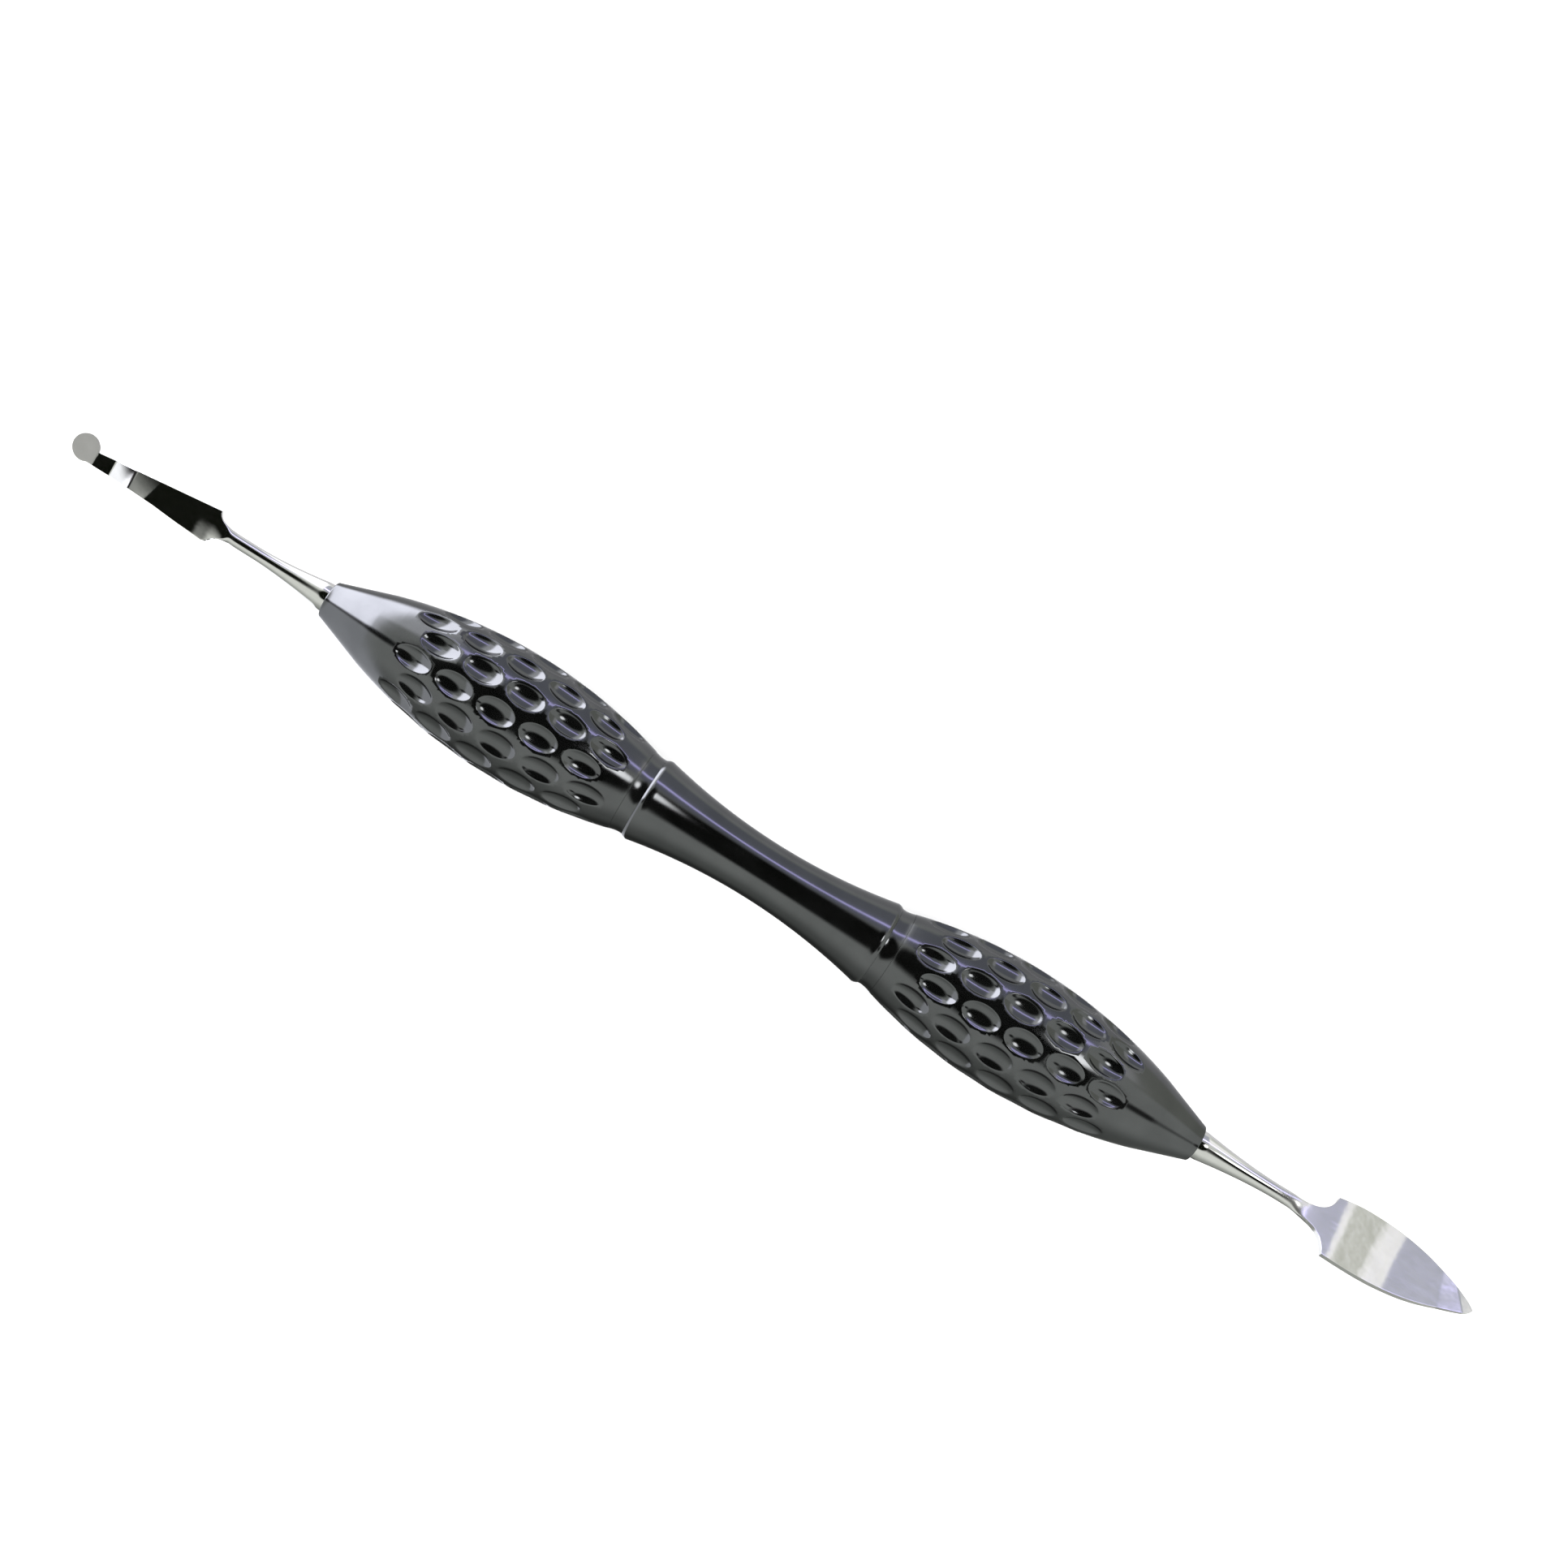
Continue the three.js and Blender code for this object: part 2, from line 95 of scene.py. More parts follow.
# Bores, of which only the mouths show
BORE_RADIUS = 1.76
SOCKET_RADIUS = 2.1
SOCKET_DEPTH = 7.5
WAIST_BORE_RADIUS = 1.4


def middle_of(node):
    low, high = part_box(node)
    return (low + high) / 2 / MM


def height_of(node):
    low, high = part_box(node)
    return high.z / MM - low.z / MM


AXIS = middle_of("leaf_end_joint_stud")
MIDDLE_X = middle_of("waist_sleeve").x
BULB_RADIUS = height_of("leaf_end_grip") / 2 - BULB_INSET
WAIST_END = WAIST_HALF_LENGTH + LIP_WIDTH
GRIP_START = WAIST_END + RING_WIDTH
MOUTH_AT = GRIP_START + GRIP_LENGTH
CONE_START = MOUTH_AT - CONE_LENGTH
CREST_AT = GRIP_START + BULB_CREST
DIMPLE_ZONE = (GRIP_START + PLAIN_START, MOUTH_AT - PLAIN_END)

# How finely the meshes are cut
TURNED_SIDES = 144
TURNED_EDGE_ANGLE = 50  # faces that meet at more degrees than this show an edge
WAIST_BANDS = 64
LIP_BANDS = 10
GROOVE_FALL_BANDS = 8
GROOVE_RISE_BANDS = 20
BULB_END_BANDS = 8
CONE_BANDS = 10
MOUTH_BANDS = 4
FACE_BAND = 0.3  # width of the band of faces behind the grip's face
SHEET_STEP = 0.45  # between the rows of points round the dimples
RIM_POINTS = 44
RIM_MARGIN = 0.13  # the sheet's points keep this far from a dimple's rim
RIM_SEARCH = (0.5, 2.9)  # every rim lies between these distances from its dimple's middle
RIM_HALVINGS = 24
BOWL_SHARES = (1 - RIM_ROUND / RIM_REACH, 0.9, 0.78, 0.65, 0.51, 0.37, 0.23, 0.1)
SLOPE_STEP = 0.01  # the bulb's slope is taken over this distance on either side
SHEET_TOLERANCE = 1e-7  # on the sheet laid out flat, whose hole has a radius of 1


# ---------------------------------------------------------------- handle profile

def arc_drop(distance, reach, rise):
    """How far an arc has left its crest's tangent, when it has left it by rise at reach."""
    radius = (reach**2 + rise**2) / (2 * rise)
    return radius - math.sqrt(radius**2 - distance**2)


def waist_radius(x):
    return WAIST_RADIUS + arc_drop(x, WAIST_HALF_LENGTH, SHOULDER_RADIUS - WAIST_RADIUS)


def bulb_radius(x):
    """Radius of the bulb and its cone at a distance from the handle's middle."""
    if x > CONE_START:
        share = (x - CONE_START) / CONE_LENGTH
        return CONE_RADIUS + (MOUTH_RADIUS - CONE_RADIUS) * share
    inward = x < CREST_AT
    reach = BULB_CREST if inward else CONE_START - CREST_AT
    end_radius = GRIP_FACE_RADIUS if inward else CONE_RADIUS
    return BULB_RADIUS - arc_drop(x - CREST_AT, reach, BULB_RADIUS - end_radius)


# ---------------------------------------------------------------- mesh helpers

def spread(start, end, count):
    """count + 1 evenly spaced numbers from start to end."""
    return [start + (end - start) * i / count for i in range(count + 1)]


def blend(start, end, share):
    return start + (end - start) * share


def smooth(value, start, end):
    """0 up to start and 1 from end on, with a soft rise between them."""
    share = min(1, max(0, (value - start) / (end - start)))
    return share * share * (3 - 2 * share)


def on_handle(x, radius, angle, side):
    """A point of the handle in metres: x from the middle towards that side's tip, and the
    angle from the top towards -Y."""
    return Vector((
        MIDDLE_X + side * x,
        AXIS.y - radius * math.sin(angle),
        AXIS.z + radius * math.cos(angle),
    )) * MM


def finish_piece(name, bm, material, nodes):
    """Makes the object, turns its faces outwards and ties it to the frame."""
    bmesh.ops.recalc_face_normals(bm, faces=bm.faces)
    for face in bm.faces:
        face.smooth = True
    mesh = bpy.data.meshes.new(name)
    bm.to_mesh(mesh)
    bm.free()
    mesh.materials.append(material)
    piece = bpy.data.objects.new(name, mesh)
    bpy.context.scene.collection.objects.link(piece)
    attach(piece, "root")
    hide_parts(*nodes)


def sharpen(bm, degrees):
    """Splits the shading where faces meet at more than this angle."""
    bm.normal_update()
    for edge in bm.edges:
        if len(edge.link_faces) == 2:
            edge.smooth = edge.calc_face_angle() < math.radians(degrees)


def bridge(bm, first, second):
    """Joins two closed loops of as many vertices by a band of faces."""
    for i in range(len(first)):
        after = (i + 1) % len(first)
        bm.faces.new((first[i], first[after], second[after], second[i]))


def add_loop(bm, x, radius, side):
    return [
        bm.verts.new(on_handle(x, radius, 2 * math.pi * i / TURNED_SIDES, side))
        for i in range(TURNED_SIDES)
    ]


def turned_piece(profile, side=1):
    """A closed turning from [x, radius] points that run round its section."""
    bm = bmesh.new()
    loops = [add_loop(bm, x, radius, side) for x, radius in profile]
    for i, loop in enumerate(loops):
        bridge(bm, loop, loops[(i + 1) % len(loops)])
    sharpen(bm, TURNED_EDGE_ANGLE)
    return bm


# ---------------------------------------------------------------- dimples

# A dimple's middle, the bulb's radius there, and how far its rim reaches in each heading
Dimple = namedtuple("Dimple", "x angle base reaches")
HEADINGS = [2 * math.pi * i / RIM_POINTS for i in range(RIM_POINTS)]


def bowl_radius(centre, x, turn):
    """Radius at which the cutting ellipsoid's underside lies, at x and turned by an angle
    from the dimple's middle. None where it misses."""
    along, across, radial = DIMPLE_AXES
    rise = bulb_radius(centre + SLOPE_STEP) - bulb_radius(centre - SLOPE_STEP)
    slope = math.atan2(rise, 2 * SLOPE_STEP)
    sin_slope, cos_slope = math.sin(slope), math.cos(slope)
    base = bulb_radius(centre)
    across *= base / BULB_RADIUS

    # The ray from the handle's axis, in the ellipsoid's directions: a start and a step for
    # each millimetre of radius
    start_along = (x - centre) * cos_slope - base * sin_slope
    start_out = -(x - centre) * sin_slope - base * cos_slope
    start_out -= radial - DIMPLE_DEPTH
    step_along = math.cos(turn) * sin_slope
    step_across = math.sin(turn)
    step_out = math.cos(turn) * cos_slope

    # It meets the ellipsoid where square * radius**2 + linear * radius + constant is zero
    square = (step_along / along) ** 2 + (step_across / across) ** 2 + (step_out / radial) ** 2
    linear = 2 * (start_along * step_along / along**2 + start_out * step_out / radial**2)
    constant = (start_along / along) ** 2 + (start_out / radial) ** 2 - 1
    inside = linear**2 - 4 * square * constant
    return (-linear - math.sqrt(inside)) / (2 * square) if inside > 0 else None


def rim_distance(centre, heading):
    """How far the dimple's rim lies from its middle in one direction along the surface."""
    near, far = RIM_SEARCH
    base = bulb_radius(centre)
    for _ in range(RIM_HALVINGS):
        middle = (near + far) / 2
        x = centre + middle * math.cos(heading)
        cut = bowl_radius(centre, x, middle * math.sin(heading) / base)
        if cut is not None and cut < bulb_radius(x):
            near = middle
        else:
            far = middle
    return near


@lru_cache
def rim_distances(centre):
    return [rim_distance(centre, heading) for heading in HEADINGS]


def all_dimples():
    """The dimples of one grip, row by row."""
    for row in range(DIMPLE_ROWS):
        first = GRIP_START + DIMPLE_FIRST - (row % 2) * DIMPLE_STAGGER
        angle = row * 2 * math.pi / DIMPLE_ROWS + DIMPLE_ROLL
        for i in range(DIMPLES_PER_ROW):
            x = first + i * DIMPLE_PITCH
            yield Dimple(x, angle, bulb_radius(x), rim_distances(x))


def rim_places(dimple):
    """Places just outside a dimple's rim, as distances along the tool and angles round it."""
    for heading, reach in zip(HEADINGS, dimple.reaches):
        out = reach + RIM_ROUND
        yield (dimple.x + out * math.cos(heading),
               dimple.angle + out * math.sin(heading) / dimple.base)


def touches(dimple, x, angle):
    """Whether a place lies in a dimple or too close to its rim."""
    along = x - dimple.x
    across = ((angle - dimple.angle + math.pi) % (2 * math.pi) - math.pi) * dimple.base
    if abs(along) > DIMPLE_BOX[0] or abs(across) > DIMPLE_BOX[1]:
        return False
    index = round(math.atan2(across, along) / (2 * math.pi) * RIM_POINTS) % RIM_POINTS
    return math.hypot(along, across) < dimple.reaches[index] + RIM_ROUND + RIM_MARGIN


def add_bowl(bm, dimple, rim, side):
    """Lines a dimple from its rim down to its middle."""
    outer = rim
    for share in BOWL_SHARES:
        loop = []
        for heading, reach in zip(HEADINGS, dimple.reaches):
            at = reach * share
            x = dimple.x + at * math.cos(heading)
            turn = at * math.sin(heading) / dimple.base
            radius = bowl_radius(dimple.x, x, turn)
            loop.append(bm.verts.new(on_handle(x, radius, dimple.angle + turn, side)))
        bridge(bm, outer, loop)
        outer = loop
    bottom = bm.verts.new(on_handle(dimple.x, dimple.base - DIMPLE_DEPTH, dimple.angle, side))
    for i in range(RIM_POINTS):
        bm.faces.new((outer[i], outer[(i + 1) % RIM_POINTS], bottom))


# ---------------------------------------------------------------- dimpled grip

class DimpledSheet:
    """The skin between the dimples. It is laid out flat to be cut into triangles, as a disc
    with the grip's inner end as the hole in its middle and the cone's end as its outside."""

    def __init__(self, bm, side):
        self.bm = bm
        self.side = side
        self.verts = []
        self.flat_places = []
        self.hole_of = []  # for each vertex the hole whose edge it lies on, or None
        self.edges = []

    def add(self, x, angle, hole=None):
        reach = math.exp((x - DIMPLE_ZONE[0]) / BULB_RADIUS)
        self.flat_places.append(Vector((reach * math.cos(angle), reach * math.sin(angle))))
        self.verts.append(self.bm.verts.new(on_handle(x, bulb_radius(x), angle, self.side)))
        self.hole_of.append(hole)

    def add_ring(self, places, is_hole=True):
        """Adds a closed ring of vertices and returns them. A hole stays open inside."""
        start = len(self.verts)
        for x, angle in places:
            self.add(x, angle, start if is_hole else None)
        ids = list(range(start, len(self.verts)))
        self.edges += zip(ids, ids[1:] + ids[:1])
        return self.verts[start:]

    def fill(self):
        """Spans everything but the holes with triangles."""
        places, _, faces = delaunay_2d_cdt(
            self.flat_places, self.edges, [], 0, SHEET_TOLERANCE)[:3]
        assert len(places) == len(self.verts), "two vertices of the sheet coincide"
        for corners in faces:
            holes = {self.hole_of[i] for i in corners}
            if len(holes) > 1 or holes == {None}:
                self.bm.faces.new([self.verts[i] for i in corners])


def sheet_places(dimples):
    """Staggered rows of places on the skin that are clear of the dimples."""
    row_count = round((DIMPLE_ZONE[1] - DIMPLE_ZONE[0]) / SHEET_STEP)
    for row, x in enumerate(spread(*DIMPLE_ZONE, row_count)[1:-1]):
        for i in range(TURNED_SIDES):
            angle = 2 * math.pi * (i + 0.5 * (row % 2)) / TURNED_SIDES
            if not any(touches(dimple, x, angle) for dimple in dimples):
                yield x, angle


def plain_profile():
    """[x, radius] points of the grip outside its dimpled zone: over the cone, round the mouth,
    back through the bore and up the face."""
    lip = MOUTH_AT - MOUTH_ROUND
    face = GRIP_START + SEAM
    socket_end = GRIP_START + SOCKET_DEPTH
    outside = spread(DIMPLE_ZONE[1], CONE_START, BULB_END_BANDS)[1:]
    outside += spread(CONE_START, lip, CONE_BANDS)[1:]
    profile = [(x, bulb_radius(x)) for x in outside]
    for turn in spread(0, math.pi / 2, MOUTH_BANDS)[1:]:
        profile.append((lip + MOUTH_ROUND * math.sin(turn),
                        bulb_radius(lip) - MOUTH_DROP * (1 - math.cos(turn))))
    return profile + [
        (MOUTH_AT, BORE_RADIUS + CHAMFER),
        (MOUTH_AT - CHAMFER, BORE_RADIUS),
        (socket_end, BORE_RADIUS),
        (socket_end, SOCKET_RADIUS),
        (face, SOCKET_RADIUS),
        (face, bulb_radius(GRIP_START) - FACE_DROP),
        (face + CHAMFER, bulb_radius(GRIP_START + CHAMFER)),
        (GRIP_START + FACE_BAND, bulb_radius(GRIP_START + FACE_BAND)),
    ]


def grip_piece(side):
    bm = bmesh.new()
    sheet = DimpledSheet(bm, side)
    turns = [2 * math.pi * i / TURNED_SIDES for i in range(TURNED_SIDES)]
    inner_end = sheet.add_ring([(DIMPLE_ZONE[0], turn) for turn in turns])
    cone_end = sheet.add_ring([(DIMPLE_ZONE[1], turn) for turn in turns], is_hole=False)
    dimples = list(all_dimples())
    for dimple in dimples:
        add_bowl(bm, dimple, sheet.add_ring(rim_places(dimple)), side)
    for x, angle in sheet_places(dimples):
        sheet.add(x, angle)
    sheet.fill()

    last = cone_end
    for x, radius in plain_profile():
        loop = add_loop(bm, x, radius, side)
        bridge(bm, last, loop)
        last = loop
    bridge(bm, last, inner_end)
    sharpen(bm, TURNED_EDGE_ANGLE)
    return bm


# ---------------------------------------------------------------- waist and neck rings

def waist_piece():
    end = WAIST_END - SEAM
    socket = end - SOCKET_DEPTH
    shoulder = waist_radius(WAIST_HALF_LENGTH)
    lip = [
        (blend(WAIST_HALF_LENGTH, end, share), shoulder - LIP_DROP * share**2)
        for share in spread(0, 1, LIP_BANDS)[1:]
    ]
    middle = spread(-WAIST_HALF_LENGTH, WAIST_HALF_LENGTH, WAIST_BANDS)
    return turned_piece([
        *((-x, radius) for x, radius in reversed(lip)),
        *((x, waist_radius(x)) for x in middle),
        *lip,
        (end, SOCKET_RADIUS), (socket, SOCKET_RADIUS), (socket, WAIST_BORE_RADIUS),
        (-socket, WAIST_BORE_RADIUS), (-socket, SOCKET_RADIUS), (-end, SOCKET_RADIUS),
    ])


def ring_piece(side):
    start = WAIST_END + SEAM
    end = GRIP_START - SEAM
    groove = WAIST_END + GROOVE_AT
    start_radius = waist_radius(WAIST_HALF_LENGTH) - LIP_DROP - RING_STEP
    end_radius = bulb_radius(GRIP_START) - RING_STEP
    outside = []
    for x in spread(start, groove, GROOVE_FALL_BANDS):
        share = (groove - x) / (groove - start)
        outside.append((x, blend(GROOVE_RADIUS, start_radius, share**2)))
    for x in spread(groove, end, GROOVE_RISE_BANDS)[1:]:
        share = (x - groove) / (end - groove)
        outside.append((x, blend(GROOVE_RADIUS, end_radius, share**GROOVE_RISE)))
    return turned_piece([*outside, (end, SOCKET_RADIUS), (start, SOCKET_RADIUS)], side)


# ---------------------------------------------------------------- tips

# A straight fold across a blade: where it crosses the axis, the slope that leads up to it, and
# how far it falls and how far it leans back for each millimetre towards +Y
Fold = namedtuple("Fold", "x slope fall slant")

# A section across a tip: the two ends of its width, the height of its top above the sheet that
# it follows, half its thickness, how square it is (2 is round) and its roll
Section = namedtuple("Section", "low high top half_thickness power roll")

# A side edge of the leaf: a curve from its neck to its shoulder that is pulled towards a third
# point, then its widest place, its reach there, and how full the curve from there to the tip is
Edge = namedtuple("Edge", "neck pull shoulder widest reach fullness")

TIP_SIDES = 72
TIP_EDGE_ANGLE = 28
SHANK_BANDS = 40
SHOULDER_BANDS = 24
LEAF_BANDS = 180
SPOON_BANDS = 90
DISC_BANDS = 40
SOFT_STEPS = 3  # a soft fold is the mean of this many places on either side of it

SHANK_ROOT = 1.66
SHANK_COLLAR = 0.7  # straight stretch of the shank before it tapers
SHANK_FALL = 1.7  # power of the taper's curve
TANG_RADIUS = 1.2
TANG_LENGTH = 16
TANG_CHAMFER = 0.1
TANG_COLLAR = 1.5  # the shank nearly fills its bore for this length behind the mouth
COLLAR_STEP = 0.02
BLADE_POWER = 60
BLADE_FLATNESS = 1 - 2 / BLADE_POWER
END_THINNESS = 0.55  # share of a blade's thickness that its end keeps

# Leaf
LEAF_SHANK = 0.82
LEAF_TAPER = 9.5
LEAF_DRIFT = 0.018  # how far the shank leans towards +Y for each millimetre
DRIFT_START = 52  # where that lean starts
LEAF_THINS = (65.6, 68.6)  # the shank becomes as thin as the blade between these places
LEAF_FLATTENS = (66.8, 69.2)  # and its section as square between these
LEAF_HALF_THICKNESS = 0.32
LEAF_END_THINS = (82, 89)
LEAF_TIP = Vector((89.45, 0.6))
LEAF_OVERRUN = 0.4  # the curves of the side edges aim this far past the tip
LEAF_ROUND = 0.75  # length of the rounding at the tip
LEAF_LEAST = 0.02  # share of its width that the very tip keeps
LEAF_HIGH_EDGE = Edge((68.5, 1.08), (71.2, 1.25), (71.65, 3.29), 76.0, 3.73, 2.5)
LEAF_LOW_EDGE = Edge((68.5, -0.5), (71.1, -0.55), (71.75, -2.7), 75.4, -2.75, 2.2)
LEAF_FOLDS = (
    Fold(65.8, 0, 0.72, 0),
    Fold(68.8, 0.08, 0.72, 0),
    Fold(72.15, 0.09, 0.714, -0.07),
    Fold(73.1, -0.11, 0.717, -0.1),
    Fold(77.3, -0.22, 0.737, -0.19),
    Fold(80, -0.11, 0.734, -0.16),
    Fold(85.75, 0.06, 0.751, 0.13),
    Fold(88.3, 0.48, 0.944, 0.58),
    Fold(90.5, 0, 0.944, 0),
)
LEAF_SOFTNESS = ((74, 0.35), (77.3, 0.6), (80, 0.4), (84.8, 0.1))  # half width of a fold at x

# Spoon
SPOON_SHANK = 0.76
SPOON_TAPER = 8.6
SPOON_NECK = 66.9
SPOON_FLATTENS = 0.8  # share of the shoulder's curves over which the section turns flat
SPOON_HALF_THICKNESS = 0.3
SPOON_END_THINS = (80, 84.3)
SPOON_HIGH_CURVE = ((67.2, 0.78), (69.4, 0.8), (69.6, 1.95))
SPOON_LOW_CURVE = ((67.2, -0.72), (68.9, -0.7), (69.55, -1.6))
# The side edges of the blade, as places along it and distances from the axis
SPOON_HIGH_EDGE = ((69.6, 1.95), (84.45, 0.16))
SPOON_LOW_EDGE = ((69.6, -1.55), (69.75, -1.83), (70.15, -1.96), (72.5, -1.8), (76.4, -1.5),
                  (79, -1.43), (84.4, -1.38), (85.5, -1.39))
SPOON_FOLDS = (
    Fold(67.3, 0, 0, 0),
    Fold(76.9, 0, 0, 0.3),
    Fold(79.7, -0.12, -0.02, 0),
    Fold(82.45, -0.3, -0.14, 0),
    Fold(84.4, 0.14, 0, 0),
    Fold(84.41, 0, -0.15, 0),
    Fold(88, 0, -0.15, 0),
)
SPOON_SOFTNESS = ((66, 0.03), (84.3, 0.03), (84.35, 0.001))
BLADE_START = SPOON_HIGH_EDGE[0][0] + 0.05
DISC_CREASE = (84.395, 84.415)  # just before and just after the fold at the disc
DISC_CENTRE = Vector((85.97, -0.07))
DISC_RADIUS = 1.52
DISC_LAST = 0.002  # from the last section to the end of the disc
DISC_HIGH_JOIN = 0.3  # the blade's upper edge runs on this far into the disc
DISC_LOW_JOIN = 1  # and this far on the other side
HOLLOW_DEPTH = 0.2
HOLLOW_TOP = 1.2  # distance from the axis at which the hollow of the shoulder starts
HOLLOW_RISES = (66.8, 70)  # the hollow deepens between these places
HOLLOW_FADES = (71, 74.5)  # and fades out between these


def curve_point(start, pull, end, share):
    """A point of a curve between two points that is pulled towards a third."""
    first = Vector(start).lerp(Vector(pull), share)
    return first.lerp(Vector(pull).lerp(Vector(end), share), share)


def piecewise(stops, x):
    """Value at x of a line through stops, level before the first and after the last."""
    for (x0, y0), (x1, y1) in zip(stops, stops[1:]):
        if x <= x1:
            return blend(y0, y1, max(0, (x - x0) / (x1 - x0)))
    return stops[-1][1]


def bent_sheet(folds, softness):
    """Height of a sheet stretched between folds, at x and y. The softness rounds its folds."""
    heights = [0]
    for before, after in zip(folds, folds[1:]):
        heights.append(heights[-1] + after.slope * (after.x - before.x))

    def sharp(x, y):
        for i, (before, after) in enumerate(zip(folds, folds[1:])):
            end = after.x - after.slant * y
            if x <= end:
                break
        start = before.x - before.slant * y
        share = max(0, (x - start) / (end - start))
        return blend(heights[i] - y * before.fall, heights[i + 1] - y * after.fall, share)

    def height(x, y):
        reach = piecewise(softness, x)
        steps = range(-SOFT_STEPS, SOFT_STEPS + 1)
        return sum(sharp(x + reach * step / SOFT_STEPS, y) for step in steps) / len(steps)
    return height


def roll_at(folds, x):
    return math.atan(piecewise([(fold.x, fold.fall) for fold in folds], x))


def shank_sections(radius, taper, end, drift=0):
    """Round sections from the tang's inner end to where the blade starts. The drift is how
    far the shank leans towards +Y for each millimetre outside its bore."""
    def rounded(x, r):
        y = drift * max(0, x - DRIFT_START)
        return Section(Vector((x, y - r)), Vector((x, y + r)), r, r, 2, 0)

    def flare(x):
        share = (x - MOUTH_AT - SHANK_COLLAR) / taper
        if share >= 1:
            return radius
        return radius + (SHANK_ROOT - radius) * (1 - max(0, share)) ** SHANK_FALL

    tang_end = MOUTH_AT - TANG_LENGTH
    collar = MOUTH_AT - TANG_COLLAR
    return [
        rounded(tang_end, TANG_RADIUS - TANG_CHAMFER),
        rounded(tang_end + TANG_CHAMFER, TANG_RADIUS),
        rounded(collar, TANG_RADIUS),
        rounded(collar + COLLAR_STEP, SHANK_ROOT),
        *(rounded(x, flare(x)) for x in spread(MOUTH_AT, end, SHANK_BANDS)),
    ]


def loft_tip(side, sections, sheet):
    """A closed skin over the sections. The flatter a section, the more its top follows the
    sheet's roll; a round one keeps its place."""
    bm = bmesh.new()
    last = None
    for section in sections:
        flatness = (1 - 2 / section.power) / BLADE_FLATNESS
        roll = section.roll * flatness
        middle = (section.low + section.high) / 2
        half = (section.high - section.low) / 2
        loop = []
        for i in range(TIP_SIDES):
            turn = 2 * math.pi * (i + 0.5) / TIP_SIDES
            across = math.cos(turn)
            up = (1 - abs(across) ** section.power) ** (1 / section.power)
            lift = (math.copysign(up, math.sin(turn)) - 1) * section.half_thickness
            x, y = middle + half * across
            z = section.top + lift * math.cos(roll) + blend(sheet(x, 0), sheet(x, y), flatness)
            y += lift * math.sin(roll)
            loop.append(bm.verts.new(Vector((MIDDLE_X + side * x, AXIS.y + y, AXIS.z + z)) * MM))
        if last:
            bridge(bm, last, loop)
        else:
            bm.faces.new(loop)
        last = loop
    bm.faces.new(last)
    sharpen(bm, TIP_EDGE_ANGLE)
    return bm


# ---------------------------------------------------------------- leaf tip

def leaf_edge(edge, x):
    """Distance of a side edge of the leaf from the axis, from its shoulder to the tip."""
    shoulder_x, shoulder_y = edge.shoulder
    if x < edge.widest:
        share = (edge.widest - x) / (edge.widest - shoulder_x)
        return edge.reach + (shoulder_y - edge.reach) * share**2
    share = min(1, (x - edge.widest) / (LEAF_TIP.x + LEAF_OVERRUN - edge.widest))
    return edge.reach + (LEAF_TIP.y - edge.reach) * share**edge.fullness


def leaf_neck_sections():
    """From where the shank starts to flatten to the leaf's shoulders."""
    neck_start = LEAF_LOW_EDGE.neck[0]
    ends = [
        (section.low, section.high)
        for section in shank_sections(LEAF_SHANK, LEAF_TAPER, neck_start, LEAF_DRIFT)
        if section.low.x > LEAF_THINS[0]
    ]
    for share in spread(0, 1, SHOULDER_BANDS)[1:]:
        ends.append((curve_point(*LEAF_LOW_EDGE[:3], share),
                     curve_point(*LEAF_HIGH_EDGE[:3], share)))
    sections = []
    for low, high in ends:
        x = (low.x + high.x) / 2
        half_thickness = blend(LEAF_SHANK, LEAF_HALF_THICKNESS, smooth(x, *LEAF_THINS))
        flatness = BLADE_FLATNESS * smooth(x, *LEAF_FLATTENS)
        sections.append(Section(
            low, high, LEAF_SHANK, half_thickness, 2 / (1 - flatness), roll_at(LEAF_FOLDS, x)))
    return sections


def leaf_blade_sections():
    """From the leaf's shoulders to its tip, closer together towards the tip."""
    sections = []
    for share in spread(0, 1, LEAF_BANDS)[1:]:
        share *= 2 - share
        low_x = blend(LEAF_LOW_EDGE.shoulder[0], LEAF_TIP.x, share)
        high_x = blend(LEAF_HIGH_EDGE.shoulder[0], LEAF_TIP.x, share)
        low = Vector((low_x, leaf_edge(LEAF_LOW_EDGE, low_x)))
        high = Vector((high_x, leaf_edge(LEAF_HIGH_EDGE, high_x)))
        middle = (low + high) / 2
        left = max(0, (LEAF_TIP.x - middle.x) / LEAF_ROUND)
        if left < 1:
            keep = math.sqrt(max(LEAF_LEAST**2, left * (2 - left)))
            low = middle + (low - middle) * keep
            high = middle + (high - middle) * keep
        thinned = blend(1, END_THINNESS, smooth(middle.x, *LEAF_END_THINS))
        sections.append(Section(
            low, high, LEAF_SHANK, LEAF_HALF_THICKNESS * thinned,
            BLADE_POWER, roll_at(LEAF_FOLDS, middle.x)))
    return sections


def leaf_piece():
    return loft_tip(1, [
        *shank_sections(LEAF_SHANK, LEAF_TAPER, LEAF_THINS[0], LEAF_DRIFT),
        *leaf_neck_sections(),
        *leaf_blade_sections(),
    ], bent_sheet(LEAF_FOLDS, LEAF_SOFTNESS))


# ---------------------------------------------------------------- spoon tip

def spoon_shoulder_sections():
    """From the round shank to the spoon's shoulders."""
    sections = []
    for share in spread(0, 1, SHOULDER_BANDS)[1:]:
        flat = smooth(share, 0, SPOON_FLATTENS)
        sections.append(Section(
            curve_point(*SPOON_LOW_CURVE, share),
            curve_point(*SPOON_HIGH_CURVE, share),
            SPOON_SHANK,
            blend(SPOON_SHANK, SPOON_HALF_THICKNESS, flat),
            blend(2, BLADE_POWER, flat**2), 0))
    return sections


